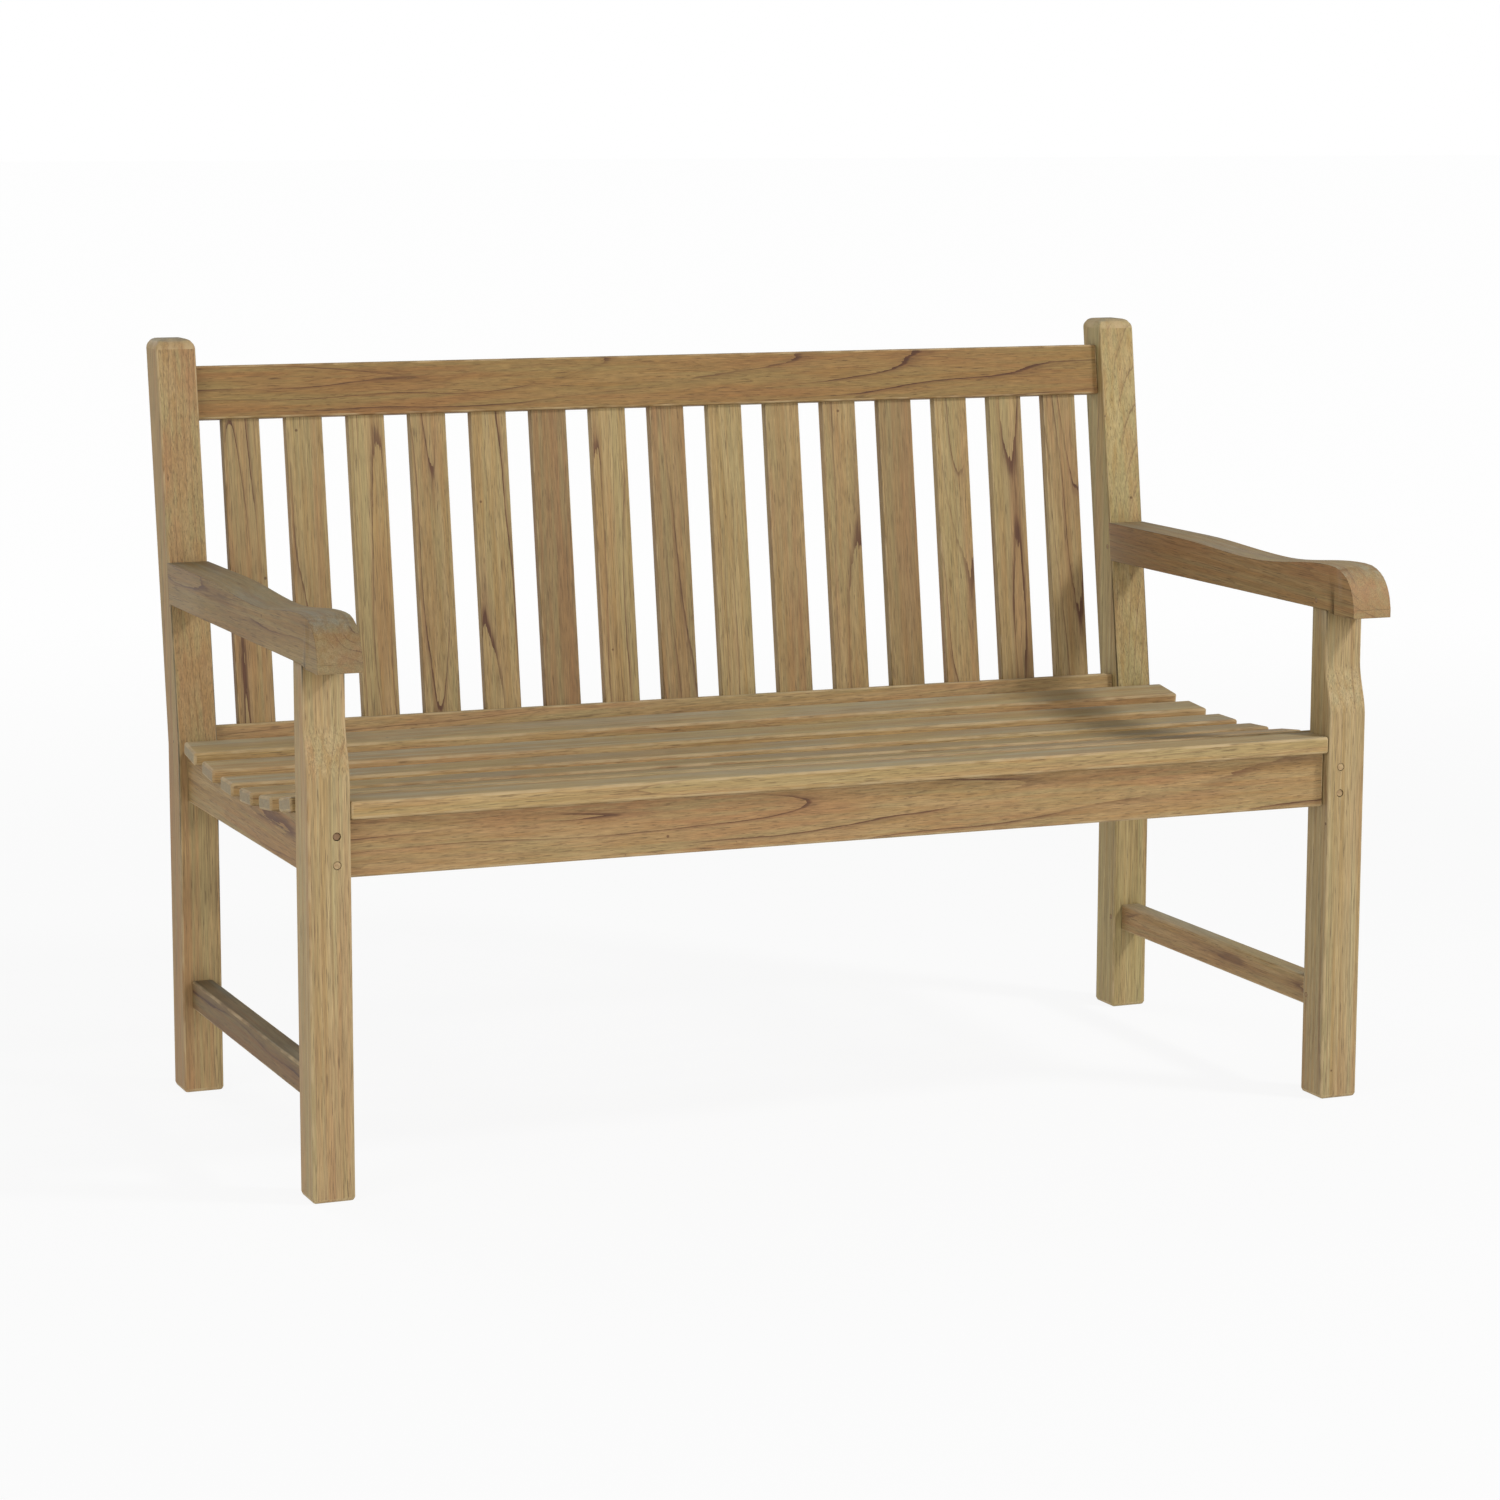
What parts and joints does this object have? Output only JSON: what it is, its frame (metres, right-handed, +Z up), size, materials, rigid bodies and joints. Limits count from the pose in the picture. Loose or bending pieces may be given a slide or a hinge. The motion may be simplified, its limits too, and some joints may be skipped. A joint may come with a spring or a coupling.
{
  "type": "garden bench",
  "caption": "Slatted wooden garden bench with arms, upright back slats, dished seat and low side stretchers, joined with pegged tenons.",
  "frame": {"origin": "middle of the bench's outline on the ground, at the underside of the feet", "axes": "+X along the seat to the sitter's left, seen from the front it points right; -Y towards the front edge of the seat; +Z up"},
  "size_m": [1.302, 0.7006, 0.898],
  "materials": {
    "teak_post": "sanded, unoiled, light golden brown with fine straight grain",
    "teak_arm": "sanded, unoiled, slightly grey on the top face",
    "teak_rail": "sanded, unoiled, warm brown with darker growth lines",
    "teak_back_slat": "sanded, unoiled, mixed straight and arched grain",
    "teak_seat_slat": "sanded, unoiled, slightly grey on the top face",
    "teak_peg": "end grain, cut flush",
    "stainless_screw": "plain stainless steel"
  },
  "bodies": {
    "root": {"left_rear_post": "teak_post", "right_rear_post": "teak_post", "left_front_leg": "teak_post", "right_front_leg": "teak_post", "left_arm": "teak_arm", "right_arm": "teak_arm", "top_back_rail": "teak_rail", "lower_back_rail": "teak_rail", "back_slat_01": "teak_back_slat", "back_slat_02": "teak_back_slat", "back_slat_03": "teak_back_slat", "back_slat_04": "teak_back_slat", "back_slat_05": "teak_back_slat", "back_slat_06": "teak_back_slat", "back_slat_07": "teak_back_slat", "back_slat_08": "teak_back_slat", "back_slat_09": "teak_back_slat", "back_slat_10": "teak_back_slat", "back_slat_11": "teak_back_slat", "back_slat_12": "teak_back_slat", "back_slat_13": "teak_back_slat", "back_slat_14": "teak_back_slat", "back_slat_15": "teak_back_slat", "seat_slat_01": "teak_seat_slat", "seat_slat_02": "teak_seat_slat", "seat_slat_03": "teak_seat_slat", "seat_slat_04": "teak_seat_slat", "seat_slat_05": "teak_seat_slat", "seat_slat_06": "teak_seat_slat", "front_seat_slat": "teak_seat_slat", "front_seat_rail": "teak_rail", "rear_seat_rail": "teak_rail", "left_side_rail": "teak_rail", "right_side_rail": "teak_rail", "centre_bearer": "teak_rail", "left_stretcher": "teak_rail", "right_stretcher": "teak_rail", "front_rail_pegs": "teak_peg", "stretcher_pins": "teak_peg", "arm_pins": "teak_peg", "back_rail_pins": "teak_peg", "seat_screws": "stainless_screw"}
  },
  "joints": []
}
